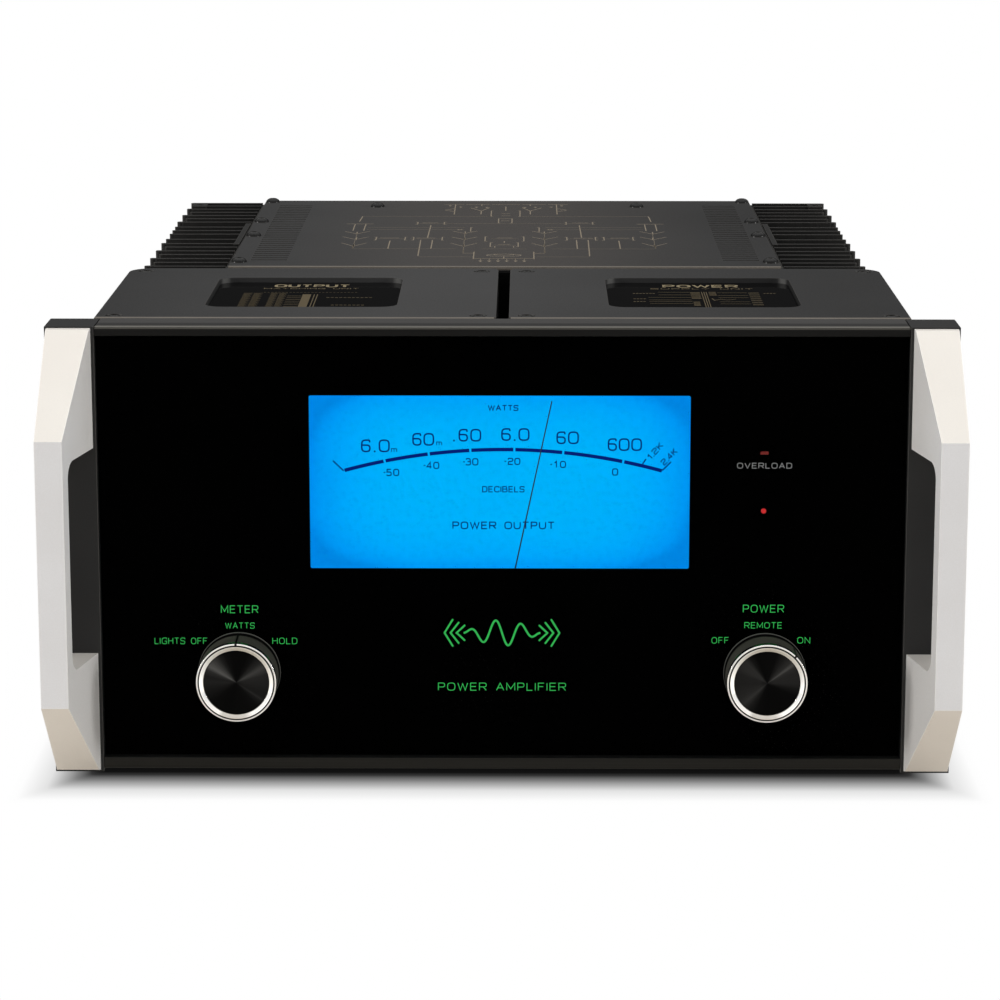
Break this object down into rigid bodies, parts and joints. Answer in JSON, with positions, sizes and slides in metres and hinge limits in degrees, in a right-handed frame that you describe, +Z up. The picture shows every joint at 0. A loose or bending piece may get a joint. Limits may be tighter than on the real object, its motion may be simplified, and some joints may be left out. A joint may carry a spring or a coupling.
{
  "type": "power amplifier",
  "caption": "Free-standing monoblock power amplifier with a lit output meter behind a glass front, rotary knobs, carrying handles, transformer covers and finned heat sinks.",
  "frame": {"origin": "middle of the footprint, on the surface the feet stand on", "axes": "+Z up, +X to the right when facing the front, +Y to the back; the glass front faces -Y"},
  "size_m": [0.445, 0.561, 0.2404],
  "materials": {
    "black_glass": "polished black-backed glass",
    "black_paint": "satin black paint",
    "black_anodised": "satin black anodised",
    "blasted_aluminium": "fine bead-blasted, satin",
    "dark_grey_paint": "fine-textured dark grey paint",
    "fastener_black": "black oxide steel",
    "dial_blue": "backlit translucent blue",
    "movement_metal": "nickel-plated steel",
    "circuit_board": "solder mask green",
    "needle_dark": "dark enamel",
    "lamp_red": "translucent red",
    "switch_body": "moulded plastic with steel bush",
    "knob_dark": "dark anodised, fine texture",
    "bright_ring": "polished",
    "spun_black": "spun black anodised",
    "transformer": "varnished laminations and copper winding",
    "zinc_steel": "zinc plated",
    "transistor": "moulded epoxy",
    "capacitor": "shrink sleeve",
    "gold_plate": "gold plated",
    "connector_black": "moulded plastic",
    "nut_black": "insulated knurled nut",
    "nut_red": "insulated knurled nut",
    "latch_metal": "nickel plated",
    "wire": "sleeved cable",
    "foot_rubber": "matte"
  },
  "bodies": {
    "chassis": {"front_glass": "black_glass", "front_subpanel": "black_paint", "top_rail": "black_anodised", "bottom_rail": "black_anodised", "left_end_plate": "black_paint", "right_end_plate": "black_paint", "left_handle": "blasted_aluminium", "right_handle": "blasted_aluminium", "handle_bolts": "fastener_black", "meter_housing": "black_paint", "meter_dial": "dial_blue", "meter_movement": "movement_metal", "meter_light_board": "circuit_board", "indicator_lenses": "lamp_red", "meter_switch": "switch_body", "power_switch": "switch_body", "base_plate": "black_paint", "bulkhead": "zinc_steel", "left_transformer_cover": "dark_grey_paint", "right_transformer_cover": "dark_grey_paint", "left_nameplate": "black_glass", "right_nameplate": "black_glass", "dome_screws": "fastener_black", "power_transformer": "transformer", "output_autoformer": "transformer", "transformer_clamps": "zinc_steel", "rear_top_cover": "dark_grey_paint", "wiring_harness": "wire", "left_heatsink": "black_anodised", "right_heatsink": "black_anodised", "output_boards": "circuit_board", "output_transistors": "transistor", "filter_capacitors": "capacitor", "capacitor_bracket": "zinc_steel", "driver_board": "circuit_board", "bridge_rectifiers": "transistor", "rear_panel": "black_paint", "balanced_jack": "connector_black", "line_jack": "gold_plate", "control_jacks": "connector_black", "mains_inlet": "connector_black", "fuse_holder": "connector_black", "output_posts": "gold_plate", "feet": "foot_rubber", "foot_screws": "zinc_steel"},
    "meter_knob": {"meter_knob": "knob_dark", "meter_knob_ring": "bright_ring", "meter_knob_cap": "spun_black"},
    "power_knob": {"power_knob": "knob_dark", "power_knob_ring": "bright_ring", "power_knob_cap": "spun_black"},
    "meter_needle": {"meter_needle": "needle_dark"},
    "fuse_cap": {"fuse_cap": "connector_black"},
    "balanced_latch": {"balanced_latch": "latch_metal"},
    "post_washer_1": {"post_washer_1": "gold_plate"},
    "post_nut_1": {"post_nut_1": "nut_black"},
    "post_washer_2": {"post_washer_2": "gold_plate"},
    "post_nut_2": {"post_nut_2": "nut_red"},
    "post_washer_3": {"post_washer_3": "gold_plate"},
    "post_nut_3": {"post_nut_3": "nut_red"}
  },
  "joints": [
    {"name": "meter_knob_turn", "type": "hinge", "parent": "chassis", "child": "meter_knob", "pos_m": [-0.13, -0.2345, 0.0652], "axis": [0, 1, 0], "range_deg": [-45, 45]},
    {"name": "power_knob_turn", "type": "hinge", "parent": "chassis", "child": "power_knob", "pos_m": [0.13, -0.2345, 0.0652], "axis": [0, 1, 0], "range_deg": [-90, 0]},
    {"name": "needle_swing", "type": "hinge", "parent": "chassis", "child": "meter_needle", "pos_m": [0, -0.2225, 0.0845], "axis": [0, 1, 0], "range_deg": [-56, 33]},
    {"name": "fuse_cap_turn", "type": "hinge", "parent": "chassis", "child": "fuse_cap", "pos_m": [0.11, 0.2557, 0.125], "axis": [0, 1, 0], "range_deg": [0, 60]},
    {"name": "balanced_latch_press", "type": "slide", "parent": "chassis", "child": "balanced_latch", "axis": [0, -1, 0], "range_m": [0, 0.002]},
    {"name": "post_clamp_1", "type": "slide", "parent": "chassis", "child": "post_washer_1", "axis": [0, 1, 0], "range_m": [0, 0.0025]},
    {"name": "post_nut_turn_1", "type": "hinge", "parent": "post_washer_1", "child": "post_nut_1", "pos_m": [-0.028, 0.2707, 0.167], "axis": [0, 1, 0], "range_deg": [0, 720]},
    {"name": "post_clamp_2", "type": "slide", "parent": "chassis", "child": "post_washer_2", "axis": [0, 1, 0], "range_m": [0, 0.0025]},
    {"name": "post_nut_turn_2", "type": "hinge", "parent": "post_washer_2", "child": "post_nut_2", "pos_m": [0, 0.2707, 0.167], "axis": [0, 1, 0], "range_deg": [0, 720]},
    {"name": "post_clamp_3", "type": "slide", "parent": "chassis", "child": "post_washer_3", "axis": [0, 1, 0], "range_m": [0, 0.0025]},
    {"name": "post_nut_turn_3", "type": "hinge", "parent": "post_washer_3", "child": "post_nut_3", "pos_m": [0.028, 0.2707, 0.167], "axis": [0, 1, 0], "range_deg": [0, 720]}
  ],
  "couplings": [
    {"joint": "post_nut_turn_1", "follows": "post_clamp_1", "rad_per_m": 5026.5},
    {"joint": "post_nut_turn_2", "follows": "post_clamp_2", "rad_per_m": 5026.5},
    {"joint": "post_nut_turn_3", "follows": "post_clamp_3", "rad_per_m": 5026.5}
  ]
}
